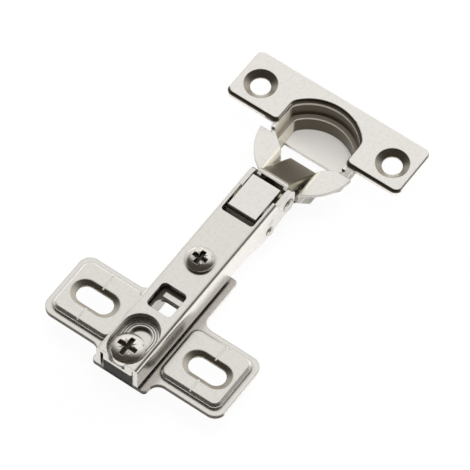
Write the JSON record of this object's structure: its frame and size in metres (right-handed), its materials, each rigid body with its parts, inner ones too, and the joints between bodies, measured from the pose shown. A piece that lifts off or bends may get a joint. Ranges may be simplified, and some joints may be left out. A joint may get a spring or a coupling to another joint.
{
  "type": "concealed cabinet hinge",
  "caption": "Concealed cabinet hinge in plated steel: winged mounting plate, sliding folded arm, crossed links and a small drawn cup with a screw flange, shown open.",
  "frame": {"origin": "midway between the two slots of the mounting plate, on the plate's underside", "axes": "+X along the arm from the plate to the cup, +Y across the hinge along the row of slots, +Z off the cabinet side"},
  "size_m": [0.0913, 0.0506, 0.019],
  "materials": {
    "plate_steel": "bright nickel plate",
    "arm_steel": "bright nickel plate",
    "cup_steel": "bright nickel plate",
    "screw_steel": "bright nickel plate",
    "rivet_steel": "turned steel",
    "link_steel": "nickel plate, darker",
    "spring_steel": "spring steel, smooth"
  },
  "bodies": {
    "plate": {"mounting_plate": "plate_steel"},
    "fixing_screw": {"fixing_screw": "screw_steel"},
    "arm": {"hinge_arm": "arm_steel", "front_rivet_left": "rivet_steel", "front_rivet_right": "rivet_steel", "rear_pivot_pin": "rivet_steel", "spring_pin": "rivet_steel", "closing_spring": "spring_steel"},
    "side_screw": {"side_adjusting_screw": "screw_steel"},
    "front_link": {"front_link": "link_steel"},
    "rear_link": {"rear_link": "link_steel"},
    "cup": {"hinge_cup": "cup_steel", "cup_low_pin": "rivet_steel", "cup_high_pin": "rivet_steel"}
  },
  "joints": [
    {"name": "arm_slide", "type": "slide", "parent": "plate", "child": "arm", "axis": [1, 0, 0], "range_m": [-0.0035, 0]},
    {"name": "fixing_screw_turn", "type": "hinge", "parent": "plate", "child": "fixing_screw", "pos_m": [-0.0089, 0, 0.005], "axis": [0, 0, 1], "continuous": true},
    {"name": "side_screw_turn", "type": "hinge", "parent": "arm", "child": "side_screw", "pos_m": [0.0191, 0, 0.009], "axis": [0, 0, 1], "continuous": true},
    {"name": "front_link_swing", "type": "hinge", "parent": "arm", "child": "front_link", "pos_m": [0.0463, 0, 0.0039], "axis": [0, -1, 0], "range_deg": [-4, 66.63]},
    {"name": "cup_swing", "type": "hinge", "parent": "front_link", "child": "cup", "pos_m": [0.0567, 0, -0.0055], "axis": [0, -1, 0], "range_deg": [-1.5, 23.5]},
    {"name": "rear_link_swing", "type": "hinge", "parent": "arm", "child": "rear_link", "pos_m": [0.03925, 0, 0.0052], "axis": [0, -1, 0], "range_deg": [-1.5, 22.7]}
  ],
  "couplings": [
    {"joint": "cup_swing", "follows": "front_link_swing", "ratio": 0.35074},
    {"joint": "rear_link_swing", "follows": "front_link_swing", "ratio": 0.33859}
  ]
}
